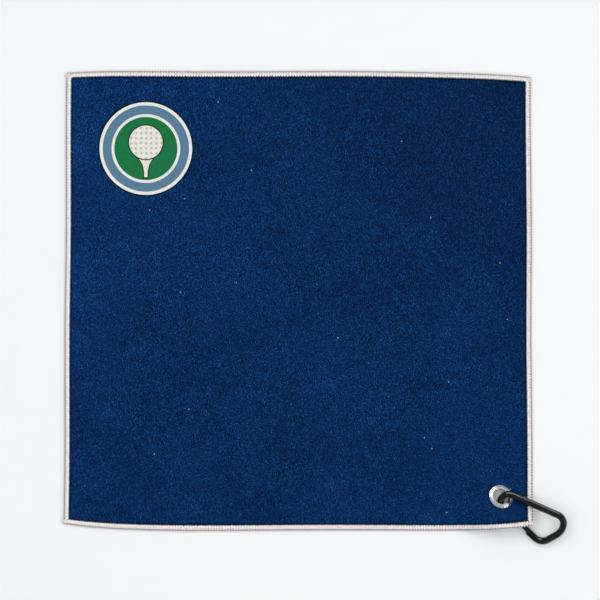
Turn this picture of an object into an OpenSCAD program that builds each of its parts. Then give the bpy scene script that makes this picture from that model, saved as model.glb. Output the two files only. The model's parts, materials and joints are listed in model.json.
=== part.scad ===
// Golf towel: a square microfibre cloth with an overlocked rim, a metal eyelet in one corner
// and a sprung-gate carabiner threaded through the eyelet. Millimetres, Z up, lying flat.

/* [Towel] */
// Width of the towel over its stitched rim
towel_w = 400; // [300:1:500]
// Height of the towel over its stitched rim
towel_h = 386; // [300:1:500]
// Thickness of the cloth
cloth_t = 1.2; // [0.8:0.1:2]

/* [Overlock rim] */
// How far the looper threads reach in from the edge
rim_w = 5.5; // [4:0.1:8]
// Thickness of the rim, threads and cloth together
rim_t = 2.4; // [2:0.1:3.5]
// Thread lying outside the raw edge of the cloth
rim_out = 0.8; // [0.5:0.1:1.2]
// Width of the needle thread line
needle_w = 0.6; // [0.4:0.1:1]
// Length of the thread tail at each corner
tail_l = 2.5; // [1:0.5:6]

/* [Eyelet] */
// Distance from the right-hand edge to the eyelet
eyelet_from_right = 27; // [22:0.5:40]
// Distance from the bottom edge to the eyelet
eyelet_from_bottom = 23.6; // [20:0.1:40]
// Height of the eyelet's centre above the table
eyelet_z = 7.4; // [7:0.1:9]
// Angle by which the eyelet leans over
eyelet_lean = 29; // [26:1:30]
// Compass direction in which the eyelet's axis leans
eyelet_lean_dir = 50; // [45:1:55]
// Radius of the eyelet's bore
bore_r = 6.5; // [6.4:0.1:7]
// Outer radius of the eyelet's flange
flange_r = 10.5; // [10:0.1:11]

/* [Carabiner] */
// Diameter of the body rod
rod_d = 6; // [5:0.1:6.2]
// Diameter of the gate rod
gate_d = 4.5; // [4:0.1:4.8]
// Centre-line radius of the narrow end
narrow_r = 8; // [7.8:0.1:9]
// Length of the straight spine
spine_l = 42.5; // [38:0.5:46]
// Angle between the spine and the gate
spread = 21.5; // [20:0.5:23]
// Centre-line radii of the three bends at the wide end
wide_r = [7.5, 15, 9];
// Angles turned by the first two of those bends
wide_turn = [76, 50];

/* [Carabiner on the towel] */
// Centre of the narrow end, measured from the eyelet
narrow_at = [7.6, -5.2];
// Compass direction of the spine
spine_dir = -23.5; // [-25:0.5:-22]
// Upward slope of the spine
spine_slope = 8; // [7:0.5:9]
// Roll of the carabiner about its spine
spine_roll = 26; // [25:0.5:28]

/* [Gate hinge] */
// Distance of the pivot from the end of the narrow bend
pivot_x = 4.5; // [4:0.1:6]
// Diameter of the pivot rivet
rivet_d = 1.5; // [1.2:0.1:1.6]
// Thickness of the hinge tongue
tongue_t = 1.6; // [1.2:0.1:1.8]
// Running gap between the tongue and each ear of the gate
tongue_gap = 0.1; // [0.05:0.05:0.3]
// Length of the lip at the nose that the gate closes against
lip_l = 9.5; // [7:0.5:11]

/* [Hidden] */
$fn = 48;

navy = [0.04, 0.12, 0.30];
thread_white = [0.90, 0.90, 0.88];
bright_metal = [0.80, 0.80, 0.82];
anodised_black = [0.06, 0.06, 0.07];
rod_r = rod_d / 2;
gate_r = gate_d / 2;
half_w = towel_w / 2;
half_h = towel_h / 2;
half_t = cloth_t / 2;
eyelet_at = [half_w - eyelet_from_right, eyelet_from_bottom - half_h];

// --- carabiner centre line, in its own plane: spine along +X at Y = narrow_r -----------------
bend_steps = 12;
gate_dir = [cos(spread), -sin(spread)];
gate_inward = [sin(spread), cos(spread)];
gate_start = -narrow_r * gate_inward;
// Headings at the start of each wide bend and after the last one
wide_dir = [0, -wide_turn[0], -wide_turn[0] - wide_turn[1], -180 - spread];

// Step across a right-hand bend of radius r, from heading a to heading b
function bend_step(r, a, b) = r * [sin(a) - sin(b), cos(b) - cos(a)];
// Points [x, y, heading] round such a bend
function bend(from, r, a, b) = [for (i = [0:bend_steps])
    let (h = a + (b - a) * i / bend_steps)
    concat(from + bend_step(r, a, h), h)
];
bend_0 = [spine_l, narrow_r];
bend_1 = bend_0 + bend_step(wide_r[0], wide_dir[0], wide_dir[1]);
straight_0 = bend_1 + bend_step(wide_r[1], wide_dir[1], wide_dir[2]);
straight_dir = [cos(wide_dir[2]), sin(wide_dir[2])];
// The straight is as long as it takes for the last bend to end on the gate's line
open_end = straight_0 + bend_step(wide_r[2], wide_dir[2], wide_dir[3]) - gate_start;
straight_l = -(open_end * gate_inward) / (straight_dir * gate_inward);
bend_2 = straight_0 + straight_l * straight_dir;
nose_end = bend_2 + bend_step(wide_r[2], wide_dir[2], wide_dir[3]);
// Distances along the gate's line: step in the nose, tip of the lip, shoulder behind the hinge
step_x = (nose_end - gate_start) * gate_dir + 0.8;
lip_x = step_x - lip_l;
shoulder_x = pivot_x - gate_r - 0.35;
// From the shoulder round the narrow end, along the spine and round the wide end to the lip
ring_line = concat(
    [concat(gate_start + shoulder_x * gate_dir, 180 - spread)],
    bend(gate_start, narrow_r, 180 - spread, 0),
    bend(bend_0, wide_r[0], wide_dir[0], wide_dir[1]),
    bend(bend_1, wide_r[1], wide_dir[1], wide_dir[2]),
    bend(bend_2, wide_r[2], wide_dir[2], wide_dir[3]),
    [concat(gate_start + lip_x * gate_dir, wide_dir[3])]
);

// --- where the carabiner lies ------------------------------------------------------------------
function turn_x(p, a) = [p[0], p[1] * cos(a) - p[2] * sin(a), p[1] * sin(a) + p[2] * cos(a)];
function turn_y(p, a) = [p[0] * cos(a) + p[2] * sin(a), p[1], p[2] * cos(a) - p[0] * sin(a)];
function turn_z(p, a) = [p[0] * cos(a) - p[1] * sin(a), p[0] * sin(a) + p[1] * cos(a), p[2]];
function laid(p) = turn_z(turn_y(turn_x([p[0], p[1], 0], spine_roll), -spine_slope), spine_dir);
laid_ring = [for (p = ring_line) laid(p)];
narrow_z = rod_r - min([for (p = laid_ring) p[2]]);
narrow_pos = [eyelet_at[0] + narrow_at[0], eyelet_at[1] + narrow_at[1], narrow_z];
x_high = narrow_pos[0] + max([for (p = laid_ring) p[0]]) + rod_r;
y_low = narrow_pos[1] + min([for (p = laid_ring) p[1]]) - rod_r;
x_low = -half_w - tail_l;
// Middle of everything in plan, which the towel's own centre is moved away from
middle = [(x_high + x_low) / 2, (half_h + y_low) / 2];

// --- the cloth's height: flat, raised at its rim, lifted round the leaning eyelet ---------------
rim_fade_from = 6;
rim_fade_to = 20;
// The cloth leans with the eyelet as far as lift_flat_r, then sinks to the table
lift_flat_r = 12;
lift_fade_r = 50;
// It sinks further away in the direction of the gate, which lies under it
gate_fade_extra = 60;
gate_side_dir = -50;
// The corner beyond the eyelet stands higher, so that the gate can open beneath it
corner_lift = 10.9;
corner_lift_at = [26.1, -28.2];
corner_lift_r = 42.2;
corner_lift_full_r = 22.6;
function ease(s) = (1 - s) * (1 - s) * (1 + 2 * s);
function unit(s) = min(1, max(0, s));
function rim_lift(x, y) =
    let (inset = min(half_w - abs(x), half_h - abs(y)))
    (rim_t - cloth_t) / 2 * ease(unit((inset - rim_fade_from) / (rim_fade_to - rim_fade_from)));
function lean_slope(ux, uy) = -tan(eyelet_lean) * (ux * cos(eyelet_lean_dir) + uy * sin(eyelet_lean_dir));
// Lift at an offset from the eyelet: a leaning plane that fades out with distance
function eyelet_lift(dx, dy) =
    let (
        r = max(norm([dx, dy]), 0.001),
        slope = lean_slope(dx / r, dy / r),
        gate_side = max(0, dx / r * cos(gate_side_dir) + dy / r * sin(gate_side_dir)),
        fade_run = lift_fade_r + gate_fade_extra * gate_side * gate_side - lift_flat_r,
        s = unit((r - lift_flat_r) / fade_run),
        plane = eyelet_z - half_t + slope * min(r, lift_flat_r)
    )
    plane * ease(s) + slope * fade_run * s * (1 - s) * (1 - s);
function corner_rise(dx, dy) =
    let (
        beyond = unit((norm([dx, dy]) - lift_flat_r) / (corner_lift_full_r - lift_flat_r)),
        away = unit(norm([dx, dy] - corner_lift_at) / corner_lift_r)
    )
    corner_lift * ease(away) * (1 - ease(beyond));
// Height of the middle of the cloth
function cloth_z(x, y) =
    let (dx = x - eyelet_at[0], dy = y - eyelet_at[1])
    half_t + max(rim_lift(x, y), eyelet_lift(dx, dy)) + corner_rise(dx, dy);

// --- grid lines of the cloth: close together near the edges and round the eyelet ----------------
edge_insets = [rim_out, rim_w, 12, rim_fade_to];
coarse_steps = 10;
fine_step = 5;
fine_from_edge = 115;
function grid_lines(half) = concat(
    [for (e = edge_insets) e - half],
    [for (i = [1:coarse_steps])
        rim_fade_to - half + i * (2 * half - rim_fade_to - fine_from_edge) / coarse_steps],
    [for (d = [fine_from_edge - fine_step:-fine_step:rim_fade_to + fine_step]) half - d],
    [for (i = [3:-1:0]) half - edge_insets[i]]
);
x_lines = grid_lines(half_w);
// The eyelet is near the bottom, so the rows are the mirror image of such a list
y_lines = [for (i = [len(grid_lines(half_h)) - 1:-1:0]) -grid_lines(half_h)[i]];

// Closed sheet over a grid of points, lower and upper faces given by their offsets from cloth_z
module sheet(xs, ys, low, high) {
    nx = len(xs);
    ny = len(ys);
    lower = [for (y = ys) for (x = xs) [x, y, cloth_z(x, y) + low]];
    upper = [for (y = ys) for (x = xs) [x, y, cloth_z(x, y) + high]];
    top = nx * ny;
    cells = [for (j = [0:ny - 2]) for (i = [0:nx - 2]) j * nx + i];
    rim = concat(
        [for (i = [0:nx - 2]) i],
        [for (j = [0:ny - 2]) j * nx + nx - 1],
        [for (i = [nx - 1:-1:1]) (ny - 1) * nx + i],
        [for (j = [ny - 1:-1:1]) j * nx]
    );
    n = len(rim);
    polyhedron(
        points = concat(lower, upper),
        faces = concat(
            [for (c = cells) [c, c + 1, c + nx + 1]],
            [for (c = cells) [c, c + nx + 1, c + nx]],
            [for (c = cells) [top + c, top + c + nx + 1, top + c + 1]],
            [for (c = cells) [top + c, top + c + nx, top + c + nx + 1]],
            [for (k = [0:n - 1]) [rim[k], rim[(k + 1) % n] + top, rim[(k + 1) % n]]],
            [for (k = [0:n - 1]) [rim[k], rim[k] + top, rim[(k + 1) % n] + top]]
        )
    );
}

// Closed solid through rings of points, each ring holding the same number of points
module loft(rings) {
    n = len(rings[0]);
    m = len(rings);
    polyhedron(
        points = [for (ring = rings) for (p = ring) p],
        faces = concat(
            [[for (k = [0:n - 1]) k]],
            [for (j = [0:m - 2]) for (k = [0:n - 1]) [j * n + k, (j + 1) * n + k, (j + 1) * n + (k + 1) % n]],
            [for (j = [0:m - 2]) for (k = [0:n - 1]) [j * n + k, (j + 1) * n + (k + 1) % n, j * n + (k + 1) % n]],
            [[for (k = [n - 1:-1:0]) (m - 1) * n + k]]
        )
    );
}

// One run of thread along an edge; a profile point is [distance in from the edge, height]
function edge_point(side, along, p) =
    let (
        x = side == "left" ? p[0] - half_w : side == "right" ? half_w - p[0] : along,
        y = side == "bottom" ? p[0] - half_h : side == "top" ? half_h - p[0] : along
    )
    [x, y, cloth_z(x, y) + p[1]];
module edge_run(side, stations, profile) {
    flip = side == "bottom" || side == "right";
    order = flip ? [len(stations) - 1:-1:0] : [0:len(stations) - 1];
    loft([for (i = order) [for (p = profile) edge_point(side, stations[i], p)]]);
}
function run_length(side, inset) = (side == "top" || side == "bottom" ? half_w : half_h) - inset;
// Stations of a run that stops short of the corners by inset
function stations(side, inset) =
    let (
        lines = side == "top" || side == "bottom" ? x_lines : y_lines,
        end = run_length(side, inset)
    )
    concat([-end], [for (v = lines) if (abs(v) < end - 0.01) v], [end]);
function corner_inset(side) = side == "top" || side == "bottom" ? 0 : rim_w;

bite = 0.05;
rim_half = rim_t / 2;
rim_round = 0.5;
leg_w = half_t - bite;
upper_profile = [
    [0, 0], [rim_out, 0], [rim_out, leg_w], [rim_w, leg_w],
    [rim_w, rim_half], [rim_round, rim_half], [0, rim_half - rim_round]
];
lower_profile = [for (i = [len(upper_profile) - 1:-1:0]) [upper_profile[i][0], -upper_profile[i][1]]];
needle_profile = [
    [rim_w, leg_w], [rim_w + needle_w, leg_w], [rim_w + needle_w, rim_half - 0.2], [rim_w, rim_half - 0.1]
];

module in_frame() {
    translate([-middle[0], -middle[1], 0]) children();
}

module at_eyelet() {
    in_frame()
        translate([eyelet_at[0], eyelet_at[1], eyelet_z])
            rotate([0, 0, eyelet_lean_dir])
                rotate([0, eyelet_lean, 0])
                    children();
}

module at_carabiner() {
    in_frame()
        translate(narrow_pos)
            rotate([0, 0, spine_dir])
                rotate([0, -spine_slope, 0])
                    rotate([spine_roll, 0, 0])
                        children();
}

// Frame on the gate's own axis: X from the pivot towards the nose, Y into the carabiner
gate_offset = rod_r - gate_r;
pivot_at = gate_start + pivot_x * gate_dir + gate_offset * gate_inward;
module on_gate_line(x, y) {
    at = gate_start + x * gate_dir + y * gate_inward;
    translate([at[0], at[1], 0]) rotate([0, 0, -spread]) children();
}

// --- towel -------------------------------------------------------------------------------------
tube_r = bore_r + 0.5;
module towel_cloth() {
    color(navy)
        difference() {
            in_frame() sheet(x_lines, y_lines, -half_t, half_t);
            at_eyelet() cylinder(h = 4 * cloth_t, r = tube_r, center = true);
        }
}

module upper_looper(side) {
    color(thread_white)
        in_frame() edge_run(side, stations(side, corner_inset(side)), upper_profile);
}

module lower_looper(side) {
    color(thread_white)
        in_frame() edge_run(side, stations(side, corner_inset(side)), lower_profile);
}

module needle_thread(side) {
    inset = rim_w + (corner_inset(side) > 0 ? needle_w : 0);
    color(thread_white) in_frame() edge_run(side, stations(side, inset), needle_profile);
}

tail_r = 0.6;
module thread_tails() {
    color(thread_white)
        in_frame()
            for (sx = [-1, 1], sy = [-1, 1])
                translate([sx * half_w, sy * (half_h - rim_w / 2), cloth_z(sx * half_w, sy * half_h)])
                    rotate([0, sx * 90, 0]) {
                        cylinder(h = tail_l - tail_r, r = tail_r);
                        translate([0, 0, tail_l - tail_r]) sphere(r = tail_r);
                    }
}

// --- eyelet ------------------------------------------------------------------------------------
lip_r = 0.9;
crest = 1.6;
washer_t = 0.5;
curl_r = 0.7;
curl_w = 0.9;
module eyelet_barrel() {
    dome = [for (a = [0:10:90])
        [bore_r + lip_r + (flange_r - bore_r - lip_r) * sin(a), half_t + (crest - half_t) * cos(a)]];
    mouth = [for (a = [180:-15:105]) [bore_r + lip_r + lip_r * cos(a), crest - lip_r + lip_r * sin(a)]];
    curl = [for (a = [270:-15:180]) [bore_r + curl_r + curl_r * cos(a), curl_r - crest + curl_r * sin(a)]];
    under = [
        [tube_r, half_t], [tube_r, -half_t - washer_t],
        [bore_r + 2 * curl_w, -half_t - washer_t], [bore_r + 2 * curl_w, 0.3 - crest]
    ];
    color(bright_metal) at_eyelet() rotate_extrude() polygon(concat(mouth, dome, under, curl));
}

module eyelet_washer() {
    color(bright_metal)
        at_eyelet()
            translate([0, 0, -half_t - washer_t])
                difference() {
                    cylinder(h = washer_t, r = flange_r - 0.3);
                    translate([0, 0, -washer_t]) cylinder(h = 3 * washer_t, r = tube_r);
                }
}

// --- carabiner ---------------------------------------------------------------------------------
// Round rod swept along the centre line
rod_sides = 24;
module rod() {
    loft([for (p = ring_line) [for (k = [0:rod_sides - 1])
        let (a = 360 * k / rod_sides)
        [p[0] - rod_r * cos(a) * sin(p[2]), p[1] + rod_r * cos(a) * cos(p[2]), rod_r * sin(a)]
    ]]);
}

flat_from = 12.5;
flat_to = 27.5;
flat_depth = 0.7;
nose_gap = 0.25;
lip_top = rod_r - 1;
module blank_flats() {
    for (side = [-1, 1])
        translate([(flat_from + flat_to) / 2, narrow_r, side * (2 * rod_r - flat_depth)])
            cube([flat_to - flat_from, 2 * rod_d, 2 * rod_r], center = true);
}

// Channel in the nose that the end of the gate closes into
module nose_channel() {
    on_gate_line(lip_x - 1, gate_offset)
        rotate([0, 90, 0]) cylinder(h = lip_l + 1, r = gate_r + nose_gap);
    on_gate_line(lip_x - 1, 0)
        translate([0, -lip_top / 2, -rod_d]) cube([lip_l + 1, rod_d, 2 * rod_d]);
}

tongue_r = 2;
tongue_flat = 1.7;
module tongue() {
    on_gate_line(pivot_x, gate_offset)
        translate([0, 0, -tongue_t / 2])
            difference() {
                union() {
                    cylinder(h = tongue_t, r = tongue_r);
                    translate([-gate_d, -tongue_r, 0]) cube([gate_d, 2 * tongue_r, tongue_t]);
                }
                translate([tongue_flat, -gate_d, -1]) cube([gate_d, 2 * gate_d, tongue_t + 2]);
            }
}

bore_gap = 0.05;
module carabiner_body() {
    color(anodised_black)
        at_carabiner()
            difference() {
                union() {
                    rod();
                    tongue();
                }
                blank_flats();
                nose_channel();
                on_gate_line(pivot_x, gate_offset)
                    cylinder(h = rod_d, r = rivet_d / 2 + bore_gap, center = true);
            }
}

// --- gate and its hinge --------------------------------------------------------------------------
module at_pivot() {
    at_carabiner() on_gate_line(pivot_x, gate_offset) children();
}

gate_l = step_x - pivot_x - nose_gap;
gate_chamfer = 0.4;
slot_x = 3;
plunger_r = 1.1;
plunger_l = 3;
pin_r = 0.6;
pin_l = 2;
spring_bore_l = 14;
plunger_x = tongue_flat + bore_gap;
module gate() {
    color(anodised_black)
        at_pivot()
            difference() {
                union() {
                    rotate([0, 90, 0]) cylinder(h = gate_l - gate_chamfer, r = gate_r);
                    translate([gate_l - gate_chamfer, 0, 0])
                        rotate([0, 90, 0]) cylinder(h = gate_chamfer, r1 = gate_r, r2 = gate_r - gate_chamfer);
                    intersection() {
                        rotate([0, -90, 0]) cylinder(h = gate_d, r = gate_r);
                        cylinder(h = gate_d, r = gate_r, center = true);
                    }
                }
                translate([-gate_d, -gate_d, -tongue_t / 2 - tongue_gap])
                    cube([gate_d + slot_x, 2 * gate_d, tongue_t + 2 * tongue_gap]);
                rotate([0, 90, 0]) cylinder(h = slot_x + spring_bore_l, r = plunger_r + bore_gap);
                cylinder(h = 2 * gate_d, r = rivet_d / 2, center = true);
            }
}

module pivot_rivet() {
    color(bright_metal) at_pivot() cylinder(h = gate_d - 0.4, r = rivet_d / 2, center = true);
}

module spring_plunger() {
    color(bright_metal)
        at_pivot()
            translate([plunger_x, 0, 0])
                rotate([0, 90, 0]) {
                    cylinder(h = plunger_l, r = plunger_r);
                    cylinder(h = plunger_l + pin_l, r = pin_r);
                }
}

wire_r = 0.15;
wire_sides = 6;
coil_turns = 9;
coil_steps = 12;
module gate_spring() {
    from = plunger_x + plunger_l + wire_r;
    to = slot_x + spring_bore_l - wire_r;
    helix_r = plunger_r - 2 * wire_r;
    rings = coil_turns * coil_steps;
    color(bright_metal)
        at_pivot()
            loft([for (i = [0:rings]) [for (k = [0:wire_sides - 1])
                let (
                    turn = 360 * i / coil_steps,
                    around = 360 * k / wire_sides,
                    r = helix_r + wire_r * cos(around)
                )
                [from + (to - from) * i / rings + wire_r * sin(around), r * cos(turn), r * sin(turn)]
            ]]);
}

towel_cloth();
upper_looper("top");  // upper_looper_top
upper_looper("right");  // upper_looper_right
upper_looper("bottom");  // upper_looper_bottom
upper_looper("left");  // upper_looper_left
lower_looper("top");  // lower_looper_top
lower_looper("right");  // lower_looper_right
lower_looper("bottom");  // lower_looper_bottom
lower_looper("left");  // lower_looper_left
needle_thread("top");  // needle_thread_top
needle_thread("right");  // needle_thread_right
needle_thread("bottom");  // needle_thread_bottom
needle_thread("left");  // needle_thread_left
thread_tails();
eyelet_barrel();
eyelet_washer();
carabiner_body();
gate();
pivot_rivet();
spring_plunger();
gate_spring();
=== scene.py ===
"""Golf towel: navy microfibre cloth with an overlocked rim, a silver eyelet and a black carabiner.

Shapes are worked out in millimetres about the towel's own centre and put into the frame in metres.
The towel is modelled as it is cut, flat, and on_towel() then lays it with its one raised corner. The
carabiner is modelled in its own plane, and laid() then leans it through the eyelet.
"""
import json
import math

import bpy
import numpy as np
from mathutils import Matrix, Vector


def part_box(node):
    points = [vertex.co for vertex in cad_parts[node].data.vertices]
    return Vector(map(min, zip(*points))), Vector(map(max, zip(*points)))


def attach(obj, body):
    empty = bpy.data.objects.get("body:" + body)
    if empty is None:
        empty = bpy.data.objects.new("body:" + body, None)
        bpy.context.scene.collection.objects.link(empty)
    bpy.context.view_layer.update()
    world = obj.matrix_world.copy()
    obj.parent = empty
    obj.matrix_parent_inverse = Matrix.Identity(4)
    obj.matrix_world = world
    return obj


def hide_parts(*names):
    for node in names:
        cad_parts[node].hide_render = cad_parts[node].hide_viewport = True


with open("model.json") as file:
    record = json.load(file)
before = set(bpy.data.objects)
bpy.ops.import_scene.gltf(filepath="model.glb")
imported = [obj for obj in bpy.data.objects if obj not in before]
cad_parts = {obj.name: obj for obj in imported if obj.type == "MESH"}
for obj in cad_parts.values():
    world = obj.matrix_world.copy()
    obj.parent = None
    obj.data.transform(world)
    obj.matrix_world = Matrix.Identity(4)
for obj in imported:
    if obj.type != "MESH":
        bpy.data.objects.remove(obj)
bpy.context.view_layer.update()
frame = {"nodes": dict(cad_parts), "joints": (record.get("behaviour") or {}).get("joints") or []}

MM = 0.001
JOINTS = {joint["name"]: joint for joint in frame["joints"]}

# --- sizes of the towel, in millimetres ---------------------------------------------------------
HALF_W, HALF_H = 200.0, 193.0
CLOTH_T = 1.2
RIM_W, RIM_T = 5.5, 2.4
# How far short of a corner the stitches stop: the needle's, and the loopers' on the left and right sides
SEAM_W = 3.9
SIDE_END_GAP = 3.6
STITCH_PITCH = 2.35
# How far the last stitches run off at the corner on each side of the middle, [across, up]
TAIL_L = {(-1, 1): 1.4, (1, 1): 1.2, (-1, -1): 1.6, (1, -1): 0.2}

EYELET_LEAN = math.radians(29)
EYELET_LEAN_DIR = math.radians(50)
BORE_R, TUBE_R, FLANGE_R = 6.5, 7.0, 10.5
WASHER_T = 0.5

# --- sizes of the carabiner, in millimetres and degrees -----------------------------------------
ROD_R, GATE_R = 3.0, 2.25
NARROW_R = 8.0
SPINE_L = 42.5
SPREAD = 21.5
WIDE_R = (7.5, 15.0, 9.0)
WIDE_TURN = (76.0, 50.0)
NARROW_AT = (7.6, -5.2)
SPINE_DIR, SPINE_SLOPE, SPINE_ROLL = -23.5, 8.0, 26.0
PIVOT_X = 4.5
LIP_L = 9.5
TONGUE_T = 1.6

# --- where things are in the frame --------------------------------------------------------------
cloth_low, cloth_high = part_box("towel_cloth")
TOWEL_MID = (cloth_low + cloth_high) / 2
EYELET = Vector(JOINTS["carabiner_swivel"]["pos_m"])
# The eyelet's centre, measured from the middle of the towel
EYELET_X = (EYELET.x - TOWEL_MID.x) / MM
EYELET_Y = (EYELET.y - TOWEL_MID.y) / MM
EYELET_Z = EYELET.z / MM


# --- helpers for meshes -------------------------------------------------------------------------
def pick(obj):
    """Leaves obj as the only selected object, and the active one."""
    bpy.ops.object.select_all(action="DESELECT")
    obj.select_set(True)
    bpy.context.view_layer.objects.active = obj
    return obj


def points_of(obj):
    """The mesh's points as an array, a row for each."""
    flat = np.empty(len(obj.data.vertices) * 3)
    obj.data.vertices.foreach_get("co", flat)
    return flat.reshape(-1, 3)


def put_points(obj, rows):
    obj.data.vertices.foreach_set("co", np.asarray(rows, float).ravel())
    obj.data.update()


def apply_all(obj):
    """Applies every modifier of obj in turn."""
    pick(obj)
    for modifier in list(obj.modifiers):
        bpy.ops.object.modifier_apply(modifier=modifier.name)
    return obj


def edit(obj, *steps):
    """Runs edit-mode steps on the whole mesh of obj."""
    pick(obj)
    bpy.ops.object.mode_set(mode="EDIT")
    bpy.ops.mesh.select_all(action="SELECT")
    for step in steps:
        step()
    bpy.ops.object.mode_set(mode="OBJECT")
    return obj


def weld(gap=1e-4):
    """An edit step: joins points that lie on each other."""
    bpy.ops.mesh.remove_doubles(threshold=gap)


def outward():
    """An edit step: turns every face outwards."""
    bpy.ops.mesh.normals_make_consistent(inside=False)


def close_ends(obj):
    """Fills the open ends of a tube."""
    pick(obj)
    bpy.ops.object.mode_set(mode="EDIT")
    bpy.ops.mesh.select_all(action="DESELECT")
    bpy.ops.mesh.select_non_manifold(extend=False, use_wire=False, use_multi_face=False)
    bpy.ops.mesh.edge_face_add()
    bpy.ops.object.mode_set(mode="OBJECT")
    return obj


def smooth(obj, degrees=35):
    pick(obj)
    bpy.ops.object.shade_smooth_by_angle(angle=math.radians(degrees))
    return obj


def place(obj, matrix):
    """Moves the mesh itself, and leaves the object at the origin."""
    obj.data.transform(matrix)
    obj.matrix_world = Matrix.Identity(4)
    obj.data.update()
    return obj


def ready(obj, name, material, body, slot, *nodes):
    """Names a finished piece, gives it its finish, ties it to its body and hides the CAD nodes it stands in
    for.
    """
    obj.name = name
    obj.data.name = name
    obj.data.materials.clear()
    obj.data.materials.append(material)
    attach(obj, body)
    if nodes:
        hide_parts(*nodes)
    return obj


# --- camera, floor and lights -------------------------------------------------------------------
CAMERA_H = 6.0
SENSOR_W = 36
# Width of the picture on the table, and what lies at its middle
VIEW_W = 0.5148
VIEW_MID = (-0.0125, 0.0080)
WORLD_COLOUR, WORLD_STRENGTH = (0.96, 0.98, 1.0, 1), 0.36
FLOOR_SIZE, FLOOR_Z = 12, -0.0002


def make_camera():
    bpy.ops.object.camera_add(location=(VIEW_MID[0], VIEW_MID[1], CAMERA_H), rotation=(0, 0, 0))
    camera = bpy.context.object
    camera.name = "camera"
    camera.data.sensor_width = SENSOR_W
    camera.data.lens = SENSOR_W * CAMERA_H / VIEW_W
    camera.data.clip_end = 20
    bpy.context.scene.camera = camera


def make_light(name, at, aim, size, power, lights=True, mirrored=True):
    """A panel of light; it can be kept from lighting matt surfaces, or from showing in shiny ones."""
    bpy.ops.object.light_add(type="AREA", location=at)
    light = bpy.context.object
    light.name = name
    light.data.shape = "RECTANGLE"
    light.data.size, light.data.size_y = size
    light.data.energy = power
    light.visible_camera = False
    light.visible_diffuse = lights
    light.visible_glossy = mirrored
    light.rotation_euler = (Vector(aim) - Vector(at)).to_track_quat("-Z", "Y").to_euler()


def make_studio():
    make_light("gloss_card", (-0.4, 2.3, 1.6), (0, 0, 0), (3.2, 1.3), 85, lights=False)
    make_light("top_softbox", (0.0, 0.3, 3.4), (0, 0, 0), (4.6, 4.6), 121, mirrored=False)
    make_light("side_strip", (2.2, -0.6, 1.3), (0.1, 0, 0), (2.0, 0.30), 8)
    world = bpy.data.worlds.new("studio_air")
    bpy.context.scene.world = world
    world.use_nodes = True
    air = world.node_tree.nodes["Background"]
    air.inputs["Color"].default_value = WORLD_COLOUR
    air.inputs["Strength"].default_value = WORLD_STRENGTH
    bpy.context.scene.view_settings.view_transform = "Standard"


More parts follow.
